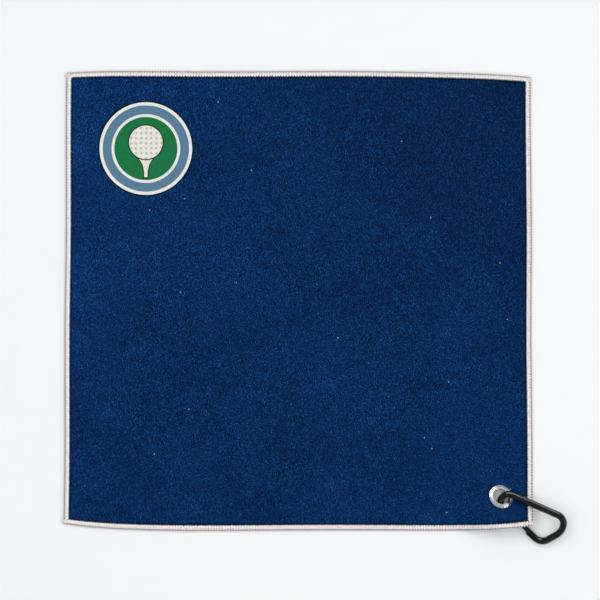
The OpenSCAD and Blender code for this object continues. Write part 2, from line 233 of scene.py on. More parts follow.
# --- finishes -----------------------------------------------------------------------------------
class Finish:
    """A material under construction, with short ways to add its nodes."""

    def __init__(self, name, **settings):
        self.material = bpy.data.materials.new(name)
        self.material.use_nodes = True
        self.tree = self.material.node_tree
        self.shader = self.tree.nodes["Principled BSDF"]
        for socket, value in settings.items():
            self.shader.inputs[socket.replace("_", " ")].default_value = value
        self.coords = self.tree.nodes.new("ShaderNodeTexCoord").outputs["Object"]

    def link(self, value, socket):
        if isinstance(value, bpy.types.NodeSocket):
            self.tree.links.new(value, socket)
        else:
            socket.default_value = value

    def maths(self, operation, *values, clamp=False):
        node = self.tree.nodes.new("ShaderNodeMath")
        node.operation = operation
        node.use_clamp = clamp
        for i, value in enumerate(values):
            self.link(value, node.inputs[i])
        return node.outputs[0]

    def moved(self, vector, shift=(0, 0, 0), turn=(0, 0, 0), scale=(1, 1, 1)):
        node = self.tree.nodes.new("ShaderNodeMapping")
        self.link(vector, node.inputs["Vector"])
        node.inputs["Location"].default_value = shift
        node.inputs["Rotation"].default_value = turn
        node.inputs["Scale"].default_value = scale
        return node.outputs[0]

    def noise(self, vector, scale, detail=2.0, rough=0.5, twist=0.0):
        node = self.tree.nodes.new("ShaderNodeTexNoise")
        self.link(vector, node.inputs["Vector"])
        node.inputs["Scale"].default_value = scale
        node.inputs["Detail"].default_value = detail
        node.inputs["Roughness"].default_value = rough
        node.inputs["Distortion"].default_value = twist
        return node.outputs["Fac"]

    def cells(self, vector, scale, feature="F1", spread=1.0, flat=False):
        node = self.tree.nodes.new("ShaderNodeTexVoronoi")
        node.feature = feature
        node.voronoi_dimensions = "2D" if flat else "3D"
        self.link(vector, node.inputs["Vector"])
        node.inputs["Scale"].default_value = scale
        node.inputs["Randomness"].default_value = spread
        return node.outputs["Distance"]

    def steps(self, value, stops, kind="LINEAR"):
        node = self.tree.nodes.new("ShaderNodeValToRGB")
        ramp = node.color_ramp
        ramp.interpolation = kind
        while len(ramp.elements) < len(stops):
            ramp.elements.new(1.0)
        for element, (at, colour) in zip(ramp.elements, stops):
            element.position = at
            element.color = (*colour, 1)
        self.link(value, node.inputs["Fac"])
        return node.outputs["Color"]

    def mix(self, share, a, b, blend="MIX"):
        node = self.tree.nodes.new("ShaderNodeMix")
        node.data_type = "RGBA"
        node.blend_type = blend
        self.link(share, node.inputs["Factor"])
        self.link(a if isinstance(a, bpy.types.NodeSocket) else (*a, 1), node.inputs["A"])
        self.link(b if isinstance(b, bpy.types.NodeSocket) else (*b, 1), node.inputs["B"])
        return node.outputs["Result"]

    def bump(self, height, distance, strength=1.0, under=None):
        node = self.tree.nodes.new("ShaderNodeBump")
        node.inputs["Distance"].default_value = distance
        node.inputs["Strength"].default_value = strength
        self.link(height, node.inputs["Height"])
        if under is not None:
            self.link(under, node.inputs["Normal"])
        return node.outputs["Normal"]

    def parts(self, vector):
        """The first two numbers of a vector."""
        node = self.tree.nodes.new("ShaderNodeSeparateXYZ")
        self.link(vector, node.inputs[0])
        return node.outputs[0], node.outputs[1]

    def distance(self, vector, x, y):
        node = self.tree.nodes.new("ShaderNodeVectorMath")
        node.operation = "DISTANCE"
        self.link(vector, node.inputs[0])
        node.inputs[1].default_value = (x, y, 0)
        return node.outputs["Value"]

    def brightened(self, colour, share):
        node = self.tree.nodes.new("ShaderNodeVectorMath")
        node.operation = "SCALE"
        self.link(colour, node.inputs[0])
        self.link(share, node.inputs["Scale"])
        return node.outputs[0]

    def attribute(self, name):
        node = self.tree.nodes.new("ShaderNodeAttribute")
        node.attribute_name = name
        return node.outputs["Fac"]

    def finished(self, **sockets):
        for socket, value in sockets.items():
            self.link(value, self.shader.inputs[socket.replace("_", " ")])
        return self.material


def rgb(*levels):
    """A screen colour from 0 to 255 as the shader's linear one."""
    shares = [level / 255 for level in levels]
    return tuple(c / 12.92 if c <= 0.04045 else ((c + 0.055) / 1.055) ** 2.4 for c in shares)


# The printed badge: its place and radius in millimetres, and the rest as shares of that radius
BADGE_AT = (-131.2, 129.3)
BADGE_R = 41.0
FIELD_R, RING_FROM, RING_TO, EDGE_FROM = 0.66, 0.715, 0.90, 0.965
BALL_UP, BALL_R, BALL_EDGE_R = 0.13, 0.352, 0.375
TEE_TOP, TEE_FOOT, TEE_HALF_W = -0.16, -0.60, 0.035
TEE_EDGE_TOP, TEE_EDGE_FOOT, TEE_EDGE_W = -0.13, -0.625, 0.022
TEE_CUP_W, TEE_CUP_SLOPE, TEE_CUP_TOP = 0.16, 2.2, 1.36
DIMPLES, DIMPLE_R, DIMPLE_SPREAD = 9.5, 0.27, 0.12


def badge(f):
    """The round print: rings, a green field and a golf ball on a tee. Returns its colour and where it is."""
    centre = (TOWEL_MID.x + BADGE_AT[0] * MM, TOWEL_MID.y + BADGE_AT[1] * MM, 0)
    unit = 1 / (BADGE_R * MM)
    flat = f.moved(f.coords, shift=tuple(-c * unit for c in centre), scale=(unit, unit, 0))
    x, y = f.parts(flat)
    across = f.maths("ABSOLUTE", x)
    from_middle = f.distance(flat, 0, 0)

    def drawn_between(half_width, foot, top):
        in_height = f.maths("MULTIPLY", f.maths("LESS_THAN", y, top), f.maths("GREATER_THAN", y, foot))
        return f.maths("MULTIPLY", f.maths("LESS_THAN", across, half_width), in_height)

    black, white = rgb(16, 18, 24), rgb(244, 244, 240)
    slate, green = rgb(96, 134, 160), rgb(30, 122, 70)
    drawing = f.steps(
        from_middle,
        [(0.0, green), (FIELD_R, white), (RING_FROM, slate), (RING_TO, white), (EDGE_FROM, black)],
        "CONSTANT")
    # Tee: a cup under the ball that narrows to a stem
    rise = f.maths("MULTIPLY_ADD", y, TEE_CUP_SLOPE, TEE_CUP_TOP, clamp=True)
    cup = f.maths("MULTIPLY", f.maths("POWER", rise, 3.0), TEE_CUP_W)
    width = f.maths("ADD", cup, TEE_HALF_W)
    edge = drawn_between(f.maths("ADD", width, TEE_EDGE_W), TEE_EDGE_FOOT, TEE_EDGE_TOP)
    drawing = f.mix(edge, drawing, black)
    drawing = f.mix(drawn_between(width, TEE_FOOT, TEE_TOP), drawing, rgb(240, 236, 222))
    # Ball, with its dimples
    from_ball = f.distance(flat, 0, BALL_UP)
    drawing = f.mix(f.maths("LESS_THAN", from_ball, BALL_EDGE_R), drawing, black)
    dimples = f.maths("LESS_THAN", f.cells(flat, DIMPLES, spread=DIMPLE_SPREAD, flat=True), DIMPLE_R)
    ball = f.mix(dimples, rgb(247, 243, 228), rgb(205, 202, 190))
    drawing = f.mix(f.maths("LESS_THAN", from_ball, BALL_R), drawing, ball)
    return drawing, f.maths("LESS_THAN", from_middle, 1.0)


# Scales of the nap's noises, in repeats to a metre
STREAKS, CROSS_STREAKS, TUFTS, BROAD, FINE_NAP = 1650, 1500, 150, 12, 2200
STREAK_SHARE, TUFT_SHARE, BROAD_SHARE = 0.88, 0.06, 0.07
# How the colour is made darker: to the right, to the right at the top, and to the top
DARKER_RIGHT, DARKER_CORNER, DARKER_TOP = -0.6, -5.5, -0.25
LINT_CELLS, LINT_R, LINT_PATCHES, LINT_RARE, LINT_SHARE = 30, 0.016, 21, 0.63, 0.55
SEAM_SHADE = 0.95


def navy_microfibre():
    """Suede-like nap: short streaks lying every way, broad tone changes, lint and the printed badge."""
    f = Finish("navy_microfibre", Roughness=0.95, Sheen_Weight=0.08, Sheen_Roughness=0.5,
               Specular_IOR_Level=0.08)
    f.shader.inputs["Sheen Tint"].default_value = (*rgb(60, 120, 200), 1)
    # Short streaks of brushed pile along both diagonals
    lie = f.noise(f.moved(f.coords, turn=(0, 0, 0.85), scale=(1, 0.5, 1)), STREAKS, 2, 0.65, 0.3)
    cross = f.noise(f.moved(f.coords, turn=(0, 0, -0.7), scale=(1, 0.5, 1)), CROSS_STREAKS, 2, 0.65, 0.3)
    streaks = f.maths("MAXIMUM", lie, cross)
    broad = f.maths("MULTIPLY", f.noise(f.coords, BROAD, 3, 0.55, 0.3), BROAD_SHARE)
    tufts = f.maths("MULTIPLY", f.noise(f.coords, TUFTS, 2, 0.6), TUFT_SHARE)
    tone = f.maths("ADD", f.maths("MULTIPLY", streaks, STREAK_SHARE), f.maths("ADD", tufts, broad))
    pile = f.steps(tone, [
        (0.46, rgb(0, 10, 32)), (0.55, rgb(0, 34, 76)), (0.63, rgb(4, 58, 114)), (0.75, rgb(44, 124, 196))])
    # The colour is made darker towards the upper right and lighter towards the upper left
    x, y = f.parts(f.coords)
    level = f.maths("MULTIPLY_ADD", x, DARKER_RIGHT, 1.0)
    level = f.maths("ADD", level, f.maths("MULTIPLY", f.maths("MULTIPLY", x, y), DARKER_CORNER))
    pile = f.brightened(pile, f.maths("MULTIPLY_ADD", y, DARKER_TOP, level))
    # Sparse lint
    specks = f.maths("LESS_THAN", f.cells(f.coords, LINT_CELLS, flat=True), LINT_R)
    rare = f.maths("GREATER_THAN", f.noise(f.coords, LINT_PATCHES, 0), LINT_RARE)
    lint = f.maths("MULTIPLY", f.maths("MULTIPLY", specks, rare), LINT_SHARE)
    pile = f.mix(lint, pile, rgb(190, 200, 214))
    # The pile is pressed down along the seam; painted shade darkens it to near-black there and at the very
    # edge, beside the rim's threads
    pile = f.mix(f.maths("MULTIPLY", f.attribute("seam"), SEAM_SHADE), pile, rgb(1, 6, 18))
    # The print takes the nap's light and dark, and is on the face only
    print_colour, on_badge = badge(f)
    shade = f.steps(tone, [(0.42, (0.72, 0.72, 0.72)), (0.72, (1.0, 1.0, 1.0))])
    print_colour = f.mix(1.0, print_colour, shade, "MULTIPLY")
    on_badge = f.maths("MULTIPLY", on_badge, f.attribute("upper_face"))
    colour = f.mix(on_badge, pile, print_colour)
    fine = f.noise(f.coords, FINE_NAP, 2, 0.6)
    relief = f.bump(streaks, 0.0006, 0.55, f.bump(fine, 0.00025, 0.5))
    return f.finished(Base_Color=colour, Normal=relief)


def overlock_thread(name, light, dark):
    """Textured thread: twisted filaments, with grey painted into the hollows as shade."""
    f = Finish(name, Roughness=0.8, Sheen_Weight=0.3, Specular_IOR_Level=0.25)
    filaments = f.noise(f.moved(f.coords, turn=(0, 0, 0.6), scale=(1, 0.3, 1)), 3600, 2, 0.6, 0.5)
    soft = f.noise(f.coords, 420, 2)
    tone = f.maths("ADD", f.maths("MULTIPLY", filaments, 0.6), f.maths("MULTIPLY", soft, 0.4))
    # Painted shade: the low parts of the filament pattern, the hollows, take the darker colour
    colour = f.steps(tone, [(0.34, dark), (0.58, light)])
    return f.finished(Base_Color=colour, Normal=f.bump(filaments, 0.00012, 0.8))


def plated_silver(name, tone, rough):
    """Nickel plate with a faint haze and fine rubbing marks."""
    f = Finish(name, Metallic=1.0)
    haze = f.noise(f.coords, 260, 3, 0.6)
    rub = f.noise(f.moved(f.coords, turn=(0.2, 0.1, 0.9), scale=(1, 0.06, 1)), 5200, 2, 0.6)
    dull = f.steps(haze, [(0.35, (rough * 0.8,) * 3), (0.70, (rough * 1.45,) * 3)])
    colour = f.steps(haze, [(0.3, tuple(0.9 * c for c in tone)), (0.65, tone)])
    return f.finished(Base_Color=colour, Roughness=dull, Normal=f.bump(rub, 0.0000015, 0.5))


def black_anodised():
    """Satin black dye over blasted aluminium, a little lighter where it has been handled."""
    f = Finish("black_anodised", Specular_IOR_Level=0.55)
    blast = f.noise(f.coords, 5200, 2, 0.6)
    worn = f.noise(f.coords, 190, 4, 0.65)
    colour = f.steps(worn, [(0.36, rgb(2, 2, 2)), (0.62, rgb(4, 4, 4)), (0.80, rgb(14, 13, 13))])
    dull = f.steps(worn, [(0.35, (0.13,) * 3), (0.7, (0.19,) * 3)])
    return f.finished(Base_Color=colour, Roughness=dull, Normal=f.bump(blast, 0.000003, 0.5))


def pale_floor():
    """A plain pale ground with hardly any tone changes."""
    f = Finish("pale_floor", Roughness=0.9, Specular_IOR_Level=0.0)
    grain = f.noise(f.coords, 40, 2)
    return f.finished(Base_Color=f.steps(grain, [(0.0, (0.865, 0.868, 0.87)), (1.0, (0.885, 0.886, 0.888))]))


# --- how the cloth lies -------------------------------------------------------------------------
# The rim is thicker than the cloth and holds it off the table; this fades inwards from the edge
RIM_FADE_FROM, RIM_FADE_TO = 6.0, 20.0
# The cloth round the eyelet leans with it, then comes down, more slowly on the gate's side
LIFT_FLAT_R, LIFT_FADE_R = 12.0, 50.0
GATE_FADE_EXTRA = 60.0
GATE_SIDE_DIR = math.radians(-50)
# The towel's corner beyond the eyelet stands up on the ring
CORNER_LIFT = 10.9
CORNER_LIFT_AT = (26.1, -28.2)
CORNER_LIFT_R, CORNER_LIFT_FULL_R = 42.2, 22.6
# Sewing has stretched the outline: bowed edges, corners moved and turned, and a slow wander
BOW_TOP, BOW_BOTTOM = 3.2, 5.3
SIDE_SHIFT, SIDE_LEAN, SIDE_SPREAD = -0.4, 0.25, -0.95
DROP, DROP_HIGHER, TOP_DROP = 0.9, 0.65, 0.8
WANDER_UP, WANDER_SIDEWAYS = 0.35, 0.3
# Soft unevenness and one crease in the upper right
SWELL, FINE_SWELL = 0.28, 0.12
CREASE_H, CREASE_W = 1.5, 6.5
CREASE_FROM, CREASE_TO = (122.0, 178.0), (196.0, 104.0)
SMOOTH_R, SMOOTH_FADE = 70, 60


def ease(s):
    """Falls smoothly from 1 to 0 while s goes from 0 to 1."""
    s = np.clip(s, 0, 1)
    return (1 - s) ** 2 * (1 + 2 * s)


def in_plan(x, y):
    """Where a point of the flat-cut towel comes to lie: edges bowed out, corners a little out of square."""
    u, v = x / HALF_W, y / HALF_H
    bow = (1 - u**6) * v**3 * np.where(v > 0, BOW_TOP, BOW_BOTTOM)
    wander = WANDER_UP * np.sin(5.1 * u + 0.7) * v**4
    sideways = WANDER_SIDEWAYS * np.sin(6.3 * v - 0.4) * u**4
    drop = (DROP + DROP_HIGHER * v) * u * abs(u)
    top_drop = TOP_DROP * np.maximum(v, 0) ** 3
    return (
        x + SIDE_SHIFT + SIDE_LEAN * v + SIDE_SPREAD * u * v + sideways,
        y - drop - top_drop + bow + wander,
    )


def ripples(x, y):
    """Shallow unevenness of cloth that has been folded, with one soft crease; never below the table."""
    swell = SWELL * (1 + np.sin(x / 31 + 0.6) * np.sin(y / 37 - 0.9))
    swell = swell + FINE_SWELL * (1 + np.sin((x + y) / 17))
    along = np.array(CREASE_TO) - CREASE_FROM
    run = np.hypot(*along)
    across = ((x - CREASE_FROM[0]) * along[1] - (y - CREASE_FROM[1]) * along[0]) / run
    at = ((x - CREASE_FROM[0]) * along[0] + (y - CREASE_FROM[1]) * along[1]) / run**2
    crease = CREASE_H * np.exp(-((across / CREASE_W) ** 2)) * np.exp(-(((at - 0.5) / 0.45) ** 4))
    clear = 1 - ease((np.hypot(x - EYELET_X, y - EYELET_Y) - SMOOTH_R) / SMOOTH_FADE)
    return (swell + crease) * clear


def cloth_mid(x, y, inset):
    """Height of the middle of the cloth at a place, inset being how far in it is from the towel's edge."""
    rim = (RIM_T - CLOTH_T) / 2 * ease((inset - RIM_FADE_FROM) / (RIM_FADE_TO - RIM_FADE_FROM))
    dx, dy = x - EYELET_X, y - EYELET_Y
    r = np.maximum(np.hypot(dx, dy), 1e-3)
    slope = -math.tan(EYELET_LEAN) * (dx * math.cos(EYELET_LEAN_DIR) + dy * math.sin(EYELET_LEAN_DIR)) / r
    gate_side = np.clip((dx * math.cos(GATE_SIDE_DIR) + dy * math.sin(GATE_SIDE_DIR)) / r, 0, 1)
    fade_run = LIFT_FADE_R + GATE_FADE_EXTRA * gate_side**2 - LIFT_FLAT_R
    s = np.clip((r - LIFT_FLAT_R) / fade_run, 0, 1)
    plane = EYELET_Z - CLOTH_T / 2 + slope * np.minimum(r, LIFT_FLAT_R)
    lean = plane * ease(s) + slope * fade_run * s * (1 - s) ** 2
    beyond = 1 - ease((r - LIFT_FLAT_R) / (CORNER_LIFT_FULL_R - LIFT_FLAT_R))
    away = np.hypot(dx - CORNER_LIFT_AT[0], dy - CORNER_LIFT_AT[1]) / CORNER_LIFT_R
    return CLOTH_T / 2 + np.maximum(rim + ripples(x, y), lean) + CORNER_LIFT * ease(away) * beyond


def on_towel(x, y, h):
    """Puts points of the flat-cut towel, h above the cloth's middle, into the frame in metres."""
    inset = np.minimum(HALF_W - abs(x), HALF_H - abs(y))
    px, py = in_plan(x, y)
    z = cloth_mid(px, py, np.maximum(inset, 0)) + h
    return np.column_stack([TOWEL_MID.x + px * MM, TOWEL_MID.y + py * MM, z * MM])


# --- cloth --------------------------------------------------------------------------------------
# Grid lines from the edge inwards: close together where the seam presses the cloth, then even
EDGE_INSETS = (0.0, 1.2, 2.4, 3.6, 4.2, 4.8, 5.5, 6.4, 7.8, 10.2)
CLOTH_STEP = 2.6
# Two bands of painted shade follow the seam: where the stitches end on the cloth, and at the very edge
SEAM_LINE, SEAM_LINE_W, EDGE_LINE_W = 4.6, 0.95, 1.6
# The hole: how far out faces are cut away, where its edge is drawn to, and how far it is looked for
HOLE_CUT_R, HOLE_R, HOLE_FIND_R = TUBE_R + 0.6, TUBE_R + 0.1, 14


def cloth_lines(half):
    """Places of the grid lines from one edge of the cloth to the other."""
    inner = half - EDGE_INSETS[-1]
    steps = round(2 * inner / CLOTH_STEP)
    middle = np.linspace(-inner, inner, steps + 1)
    edge = np.array(EDGE_INSETS[:-1])
    return np.concatenate([edge - half, middle, half - edge[::-1]])


def punch_hole(cloth):
    """Hole for the eyelet: the faces inside it go, and its edge is drawn onto the barrel."""
    axis = Vector(JOINTS["carabiner_swivel"]["axis"])
    pick(cloth)
    bpy.ops.object.mode_set(mode="EDIT")
    bpy.ops.mesh.select_all(action="DESELECT")
    bpy.ops.object.mode_set(mode="OBJECT")
    for face in cloth.data.polygons:
        face.select = (face.center - EYELET).length < HOLE_CUT_R * MM
    bpy.ops.object.mode_set(mode="EDIT")
    bpy.ops.mesh.delete(type="FACE")
    bpy.ops.object.mode_set(mode="OBJECT")
    count = {}
    for face in cloth.data.polygons:
        for edge in face.edge_keys:
            count[edge] = count.get(edge, 0) + 1
    open_points = {i for edge, faces in count.items() if faces == 1 for i in edge}
    for i in open_points:
        point = cloth.data.vertices[i]
        out = point.co - EYELET
        if out.length < HOLE_FIND_R * MM:
            out -= axis * out.dot(axis)
            point.co = EYELET + out.normalized() * HOLE_R * MM


def make_cloth(material):
    xs, ys = cloth_lines(HALF_W), cloth_lines(HALF_H)
    bpy.ops.mesh.primitive_grid_add(x_subdivisions=len(xs) - 1, y_subdivisions=len(ys) - 1, size=2)
    cloth = bpy.context.object
    rows = points_of(cloth)
    column = np.rint((rows[:, 0] + 1) / 2 * (len(xs) - 1)).astype(int)
    row = np.rint((rows[:, 1] + 1) / 2 * (len(ys) - 1)).astype(int)
    x, y = xs[column], ys[row]
    put_points(cloth, on_towel(x, y, 0 * x))

    inset = np.minimum(HALF_W - abs(x), HALF_H - abs(y))
    seam = cloth.data.attributes.new("seam", "FLOAT", "POINT")
    # Painted shade: how strongly the cloth is darkened, in a band along the seam and in one at the very edge
    seam_shade_bands = np.exp(-(((inset - SEAM_LINE) / SEAM_LINE_W) ** 2)) + np.exp(-((inset / EDGE_LINE_W) ** 2))
    seam.data.foreach_set("value", seam_shade_bands)

    punch_hole(cloth)
    thick = cloth.modifiers.new("thickness", "SOLIDIFY")
    thick.thickness = CLOTH_T * MM
    thick.offset = 0
    thick.use_even_offset = True
    apply_all(cloth)
    edit(cloth, outward)
    upper = cloth.data.attributes.new("upper_face", "FLOAT", "FACE")
    upper.data.foreach_set("value", [1.0 if p.normal.z > 0 else 0.0 for p in cloth.data.polygons])
    smooth(cloth, 50)
    return ready(cloth, "cloth", material, "towel", "microfibre", "towel_cloth")


# --- overlocked rim -----------------------------------------------------------------------------
# One stitch of each thread: [along the edge in pitches, inwards from the edge, height over the
# cloth's middle, share of the thread's full thickness]
LOOPER_STITCH = (
    (0.00, 0.00, 0.10, 0.95), (0.02, 0.00, 0.30, 0.95), (0.04, 0.12, 0.62, 0.95), (0.06, 0.45, 0.84, 0.9),
    (0.11, 0.90, 0.90, 0.9), (0.20, 1.30, 0.90, 1.0), (0.34, 1.75, 0.88, 1.15), (0.54, 2.60, 0.88, 1.15),
    (0.74, 3.25, 0.86, 1.05), (0.85, 3.68, 0.84, 0.95), (0.91, 3.95, 0.82, 0.9), (0.98, 4.05, 0.80, 0.9),
    (1.05, 3.95, 0.82, 0.9), (1.10, 3.65, 0.84, 0.95), (1.12, 3.20, 0.86, 1.05), (1.06, 2.60, 0.88, 1.15),
    (0.84, 1.95, 0.88, 1.15), (0.72, 1.60, 0.88, 1.1), (0.80, 1.25, 0.90, 1.0), (0.89, 0.90, 0.90, 0.9),
    (0.94, 0.45, 0.84, 0.9), (0.96, 0.12, 0.62, 0.95), (0.98, 0.00, 0.30, 0.95), (1.00, 0.00, 0.10, 0.95),
)
NEEDLE_STITCH = (
    (0.00, 3.00, 0.20, 0.6), (0.05, 3.00, 0.20, 0.6), (0.14, 2.85, 0.80, 0.9), (0.32, 2.95, 1.12, 1.2),
    (0.56, 3.15, 1.12, 1.2), (0.78, 3.25, 0.80, 0.9), (0.94, 3.00, 0.20, 0.6), (1.00, 3.00, 0.20, 0.6),
)
LOOPER_R, NEEDLE_R = 0.50, 0.44
# Height of a thread's section as a share of its width
THREAD_FLAT = 0.62
# How far stitches stray inwards and outwards: their inner ends, and whole stitches
STRAY_INNER, STRAY_WHOLE = 0.16, 0.13
JOIN_GAP = 0.02
# The run-off's three strands, [in from the edge, extra height], and where they draw together
TAIL_STRANDS = ((0.8, 0.1), (2.1, 0.35), (3.4, 0.0))
TAIL_MID, TAIL_ROOT, TAIL_R, TAIL_FLAT = 2.1, 1.2, 0.62, 0.8


def thread_tube(points, radius, sides=6, flatten=1.0):
    """A thread along the points, as a mesh; flatten squeezes it in height."""
    curve = bpy.data.curves.new("thread", "CURVE")
    curve.dimensions = "3D"
    curve.bevel_depth = radius
    curve.bevel_resolution = max(0, sides // 2 - 2)
    curve.twist_mode = "MINIMUM"
    line = curve.splines.new("POLY")
    line.points.add(len(points) - 1)
    for point, (x, y, z, *share) in zip(line.points, points):
        point.co = (x, y, z / flatten, 1)
        point.radius = share[0] if share else 1
    obj = bpy.data.objects.new("thread", curve)
    bpy.context.scene.collection.objects.link(obj)
    pick(obj)
    bpy.ops.object.convert(target="MESH")
    obj = bpy.context.object
    rows = points_of(obj)
    rows[:, 2] *= flatten
    put_points(obj, rows)
    return obj


def stitch_row(stitch, radius, length, side, face):
    """Repeats one stitch along a side of the towel, on its upper (1) or lower (-1) face."""
    count = round(2 * length / STITCH_PITCH)
    pitch = 2 * length / count
    thread = thread_tube([(s * pitch, u, h, share) for s, u, h, share in stitch], radius, 6, THREAD_FLAT)
    repeat = thread.modifiers.new("repeat", "ARRAY")
    repeat.count = count
    repeat.use_relative_offset = False
    repeat.use_constant_offset = True
    repeat.constant_offset_displace = (pitch, 0, 0)
    repeat.use_merge_vertices = True
    repeat.merge_threshold = JOIN_GAP
    apply_all(thread)
    close_ends(thread)
    rows = points_of(thread)
    s, u, h = rows[:, 0] - length, rows[:, 1], rows[:, 2] * face
    # No two stitches are pulled quite alike
    u = u + STRAY_INNER * np.sin(s * 0.9 + 1.3) * np.sin(s * 0.217 + 0.4) * np.clip(u / RIM_W, 0, 1)
    u = u + STRAY_WHOLE * np.sin(s * 1.31 + 0.2) * np.sin(s * 0.31)
    if side in ("top", "bottom"):
        up = 1 if side == "top" else -1
        rows = on_towel(s, up * (HALF_H - u), h)
    else:
        right = 1 if side == "right" else -1
        rows = on_towel(right * (HALF_W - u), s, h)
    put_points(thread, rows)
    edit(thread, outward)
    return smooth(thread, 60)


def make_rim(looper, needle):
    """Looper threads over and under the edge and the needle thread along the seam, a side at a time."""
    made = []
    for side in ("top", "right", "bottom", "left"):
        ends = 0 if side in ("top", "bottom") else SIDE_END_GAP
        half = HALF_W if side in ("top", "bottom") else HALF_H
        upper = stitch_row(LOOPER_STITCH, LOOPER_R, half - ends, side, 1)
        lower = stitch_row(LOOPER_STITCH, LOOPER_R, half - ends, side, -1)
        line = stitch_row(NEEDLE_STITCH, NEEDLE_R, half - SEAM_W, side, 1)
        made += [
            ready(upper, f"upper_looper_thread_{side}", looper, "towel", "thread", f"upper_looper_{side}"),
            ready(lower, f"lower_looper_thread_{side}", looper, "towel", "thread", f"lower_looper_{side}"),
            ready(line, f"needle_stitches_{side}", needle, "towel", "thread", f"needle_thread_{side}"),
        ]
    return made


def tail_line(length, inset, rise):
    """One strand of a run-off, which starts under the rim and draws in towards the middle strand."""
    line = []
    for t in np.linspace(0, 1, 9):
        out = -TAIL_ROOT + (length + TAIL_ROOT) * t
        draw = 1 - 0.45 * max(0, t - 0.3)
        u = TAIL_MID + (inset - TAIL_MID) * draw + 0.15 * math.sin(9 * t + inset)
        line.append((out, u, 0.2 + rise + 0.2 * math.sin(7 * t + 2 * inset)))
    return line


def make_tails(material):
    """The run-off of the last stitches at each corner: a short fan of three strands."""
    strands = []
    for sx in (-1, 1):
        for sy in (-1, 1):
            for inset, rise in TAIL_STRANDS:
                strand = thread_tube(tail_line(TAIL_L[sx, sy], inset, rise), TAIL_R, 8, TAIL_FLAT)
                x, u, h = points_of(strand).T
                put_points(strand, on_towel(sx * (HALF_W + x), sy * (HALF_H - u), h))
                strands.append(edit(close_ends(strand), outward))
    pick(strands[0])
    for strand in strands:
        strand.select_set(True)
    bpy.ops.object.join()
    return ready(smooth(strands[0], 60), "thread_run_off", material, "towel", "thread", "thread_tails")


# --- eyelet -------------------------------------------------------------------------------------
def eyelet_place():
    """The eyelet's own upright axis, as it leans in the frame."""
    turn = Matrix.Rotation(EYELET_LEAN_DIR, 4, "Z") @ Matrix.Rotation(EYELET_LEAN, 4, "Y")
    return Matrix.Translation(EYELET) @ turn @ Matrix.Scale(MM, 4)


def lathe(section, steps=96):
    """Spins a closed section of [radius, height] points about the upright axis."""
    bpy.ops.object.select_all(action="DESELECT")
    bpy.ops.mesh.primitive_circle_add(vertices=len(section), radius=1, fill_type="NOTHING")
    turned = bpy.context.object
    for vertex, (r, z) in zip(turned.data.vertices, section):
        vertex.co = (r, 0, z)
    return edit(
        turned,
        lambda: bpy.ops.mesh.spin(steps=steps, angle=2 * math.pi, center=(0, 0, 0), axis=(0, 0, 1)),
        weld, outward)


def arc(centre, radius, start, end, count):
    """Points [radius, height] round part of a circle or ellipse; angles in degrees."""
    rx, rz = radius if isinstance(radius, tuple) else (radius, radius)
    return [
        (centre[0] + rx * math.cos(math.radians(a)), centre[1] + rz * math.sin(math.radians(a)))
        for a in np.linspace(start, end, count)
    ]


def make_eyelet(silver):
    """The shell that goes through the cloth and the washer behind it, each turned from its section."""
    half_t = CLOTH_T / 2
    # Round the mouth, over the bead, down into a groove and out over the skirt
    barrel = (
        arc((BORE_R + 0.9, 0.7), 0.9, 180, 90, 9)
        + arc((BORE_R + 1.5, 0.8), (1.5, 0.8), 84, 12, 9)
        + arc((9.42, 0.84), 0.16, 200, 340, 5)
        + arc((9.95, 0.66), (0.55, 0.34), 130, -10, 9)
        + [(10.3, half_t), (TUBE_R, half_t), (TUBE_R, -half_t - WASHER_T)]
        + arc((8.0, -half_t - WASHER_T - 0.35), 0.3, 80, -60, 6)
        + arc((BORE_R + 0.75, -0.85), 0.75, 290, 180, 9)
    )
    shell = lathe(barrel)
    place(shell, eyelet_place())
    ready(smooth(shell, 40), "eyelet_shell", silver, "towel", "eyelet_metal", "eyelet_barrel")

    low = -half_t - WASHER_T
    ring = (
        [(TUBE_R + 0.02, low + 0.08), (TUBE_R + 0.1, low)]
        + arc((8.9, low), (0.9, 0.10), 180, 360, 7)
        + arc((FLANGE_R - 0.45, low + 0.15), 0.15, 270, 360, 4)
        + arc((FLANGE_R - 0.45, -half_t - 0.15), 0.15, 0, 90, 4)
        + [(TUBE_R + 0.1, -half_t), (TUBE_R + 0.02, -half_t - 0.08)]
    )
    washer = lathe(ring)
    place(washer, eyelet_place())
    ready(smooth(washer, 40), "eyelet_back_washer", silver, "towel", "eyelet_metal", "eyelet_washer")


# --- carabiner ----------------------------------------------------------------------------------
def heading(degrees):
    """A direction in the carabiner's plane."""
    return np.array((math.cos(math.radians(degrees)), math.sin(math.radians(degrees))))


def bend(start, radius, from_deg, to_deg, steps=28):
    """Points round a right-hand bend."""
    angles = np.radians(np.linspace(from_deg, to_deg, steps + 1))
    first = math.radians(from_deg)
    return [
        np.array(start) + radius * np.array((math.sin(first) - math.sin(a), math.cos(a) - math.cos(first)))
        for a in angles
    ]


# Along the gate from its hinge to its tip, and at right angles to that, into the carabiner
GATE_DIR = heading(-SPREAD)
GATE_IN = heading(90 - SPREAD)
GATE_START = -NARROW_R * GATE_IN
TURN_A, TURN_B = -WIDE_TURN[0], -WIDE_TURN[0] - WIDE_TURN[1]
GATE_OFFSET = ROD_R - GATE_R
# Gap behind the gate's rounded end, and how far the step in the nose is beyond the last bend
SHOULDER_GAP, STEP_ON = 0.35, 0.8


